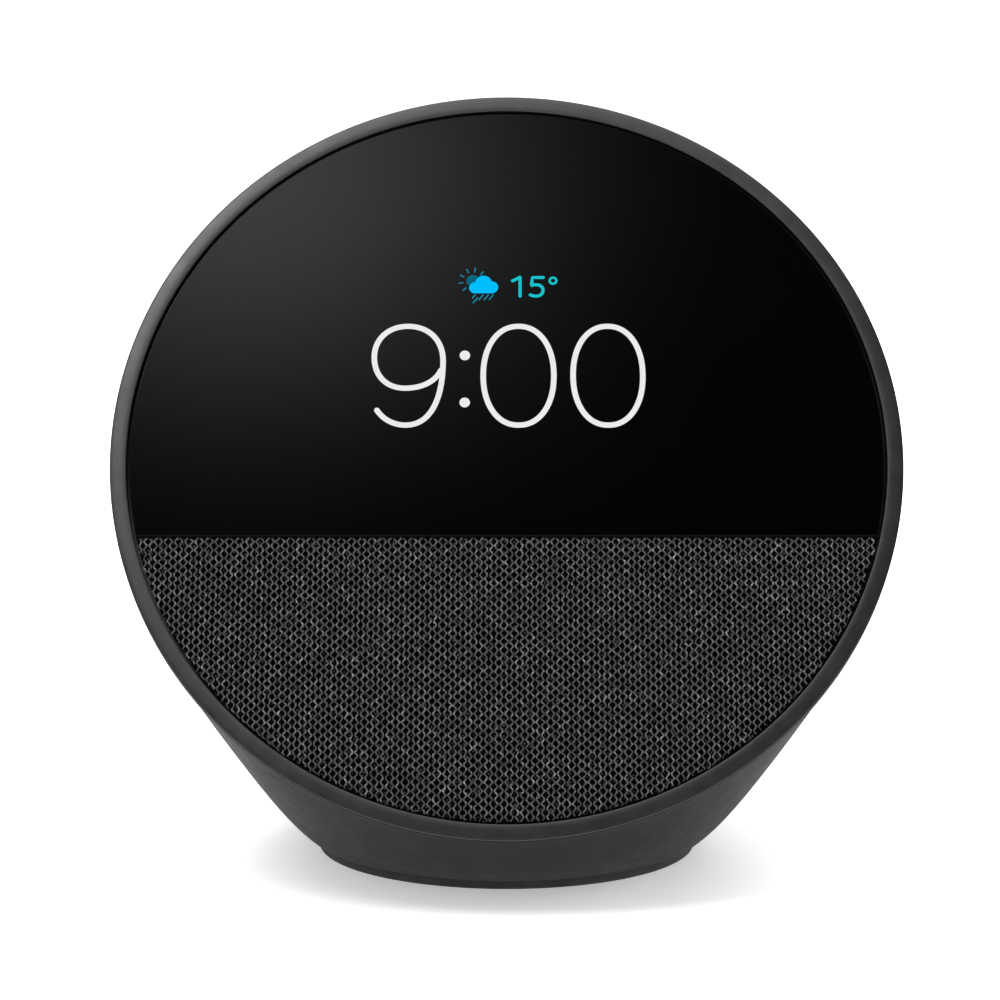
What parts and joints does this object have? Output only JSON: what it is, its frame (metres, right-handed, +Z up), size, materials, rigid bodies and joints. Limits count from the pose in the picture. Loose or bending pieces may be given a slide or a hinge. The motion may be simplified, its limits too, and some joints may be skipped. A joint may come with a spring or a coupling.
{
  "type": "smart display",
  "caption": "Round leaned-back smart display on a small foot: dark cover glass over a display, fabric-covered loudspeaker below, domed body with three keys on top.",
  "frame": {"origin": "centre of the foot's underside, on the surface that the display stands on", "axes": "+Z up, face towards -Y, +X to the viewer's right"},
  "size_m": [0.113, 0.1023, 0.1109],
  "materials": {
    "ring_plastic": "satin moulded",
    "cover_glass": "polished",
    "clear_film": "clear film",
    "black_foam": "closed-cell foam",
    "fabric": "open woven polyester",
    "black_plastic": "moulded",
    "display_cell": "polished",
    "white_plastic": "moulded",
    "sheet_steel": "tinned sheet",
    "body_plastic": "fine moulded texture",
    "foot_rubber": "matt",
    "zinc_steel": "zinc plated",
    "speaker_plastic": "glass-filled",
    "speaker_rubber": "soft",
    "paper_cone": "pressed pulp",
    "spider_cloth": "phenolic cloth",
    "copper_coil": "enamelled wire",
    "ferrite": "sintered",
    "circuit_board": "solder mask",
    "chip_epoxy": "moulded epoxy",
    "thermal_silicone": "soft",
    "aluminium": "extruded",
    "brass": "gold flashed",
    "key_plastic": "satin moulded",
    "flex_film": "polyimide film",
    "nickel_steel": "nickel plated",
    "screw_steel": "zinc plated",
    "red_wire": "soft sleeve",
    "black_wire": "soft sleeve"
  },
  "bodies": {
    "casing": {"front_ring": "ring_plastic", "cover_glass": "cover_glass", "touch_sensor": "clear_film", "glass_gasket": "black_foam", "fabric_cover": "fabric", "grille_plate": "black_plastic", "display_panel": "display_cell", "display_backlight": "white_plastic", "display_tray": "sheet_steel", "front_bracket": "black_plastic", "rear_shell": "body_plastic", "rubber_foot": "foot_rubber", "base_plate": "zinc_steel", "speaker_gasket": "black_foam", "speaker_basket": "speaker_plastic", "speaker_surround": "speaker_rubber", "speaker_spider": "spider_cloth", "speaker_top_plate": "zinc_steel", "speaker_magnet": "ferrite", "speaker_yoke": "zinc_steel", "main_board": "circuit_board", "board_chips": "chip_epoxy", "shield_cans": "sheet_steel", "thermal_pad": "thermal_silicone", "heat_spreader": "aluminium", "board_connectors": "white_plastic", "wifi_antennas": "brass", "microphones": "brass", "microphone_seals": "speaker_rubber", "key_bracket": "black_plastic", "key_flex": "flex_film", "key_switches": "white_plastic", "power_jack": "black_plastic", "jack_pin": "nickel_steel", "jack_contacts": "brass", "power_board": "circuit_board", "bracket_screws": "screw_steel", "board_screws": "screw_steel", "speaker_screws": "screw_steel", "base_screws": "screw_steel", "key_screws": "screw_steel", "power_screws": "screw_steel", "display_ribbon": "flex_film", "key_ribbon": "flex_film", "speaker_wires": "red_wire", "power_wires": "black_wire"},
    "volume_down_key": {"volume_down_button": "key_plastic"},
    "mute_key": {"mute_button": "key_plastic"},
    "volume_up_key": {"volume_up_button": "key_plastic"},
    "speaker_cone_assembly": {"speaker_cone": "paper_cone", "speaker_dust_cap": "paper_cone", "speaker_voice_coil": "copper_coil"}
  },
  "joints": [
    {"name": "volume_down_press", "type": "slide", "parent": "casing", "child": "volume_down_key", "axis": [0.3095, -0.487, -0.8167], "range_m": [0, 0.0005], "stiffness_N_per_m": 1500},
    {"name": "mute_press", "type": "slide", "parent": "casing", "child": "mute_key", "axis": [0, -0.5074, -0.8617], "range_m": [0, 0.0005], "stiffness_N_per_m": 1500},
    {"name": "volume_up_press", "type": "slide", "parent": "casing", "child": "volume_up_key", "axis": [-0.3095, -0.487, -0.8167], "range_m": [0, 0.0005], "stiffness_N_per_m": 1500},
    {"name": "cone_excursion", "type": "slide", "parent": "casing", "child": "speaker_cone_assembly", "axis": [0, -0.878, 0.4787], "range_m": [-0.0015, 0.0015], "stiffness_N_per_m": 1500, "deforming": ["speaker_surround", "speaker_spider"]}
  ]
}
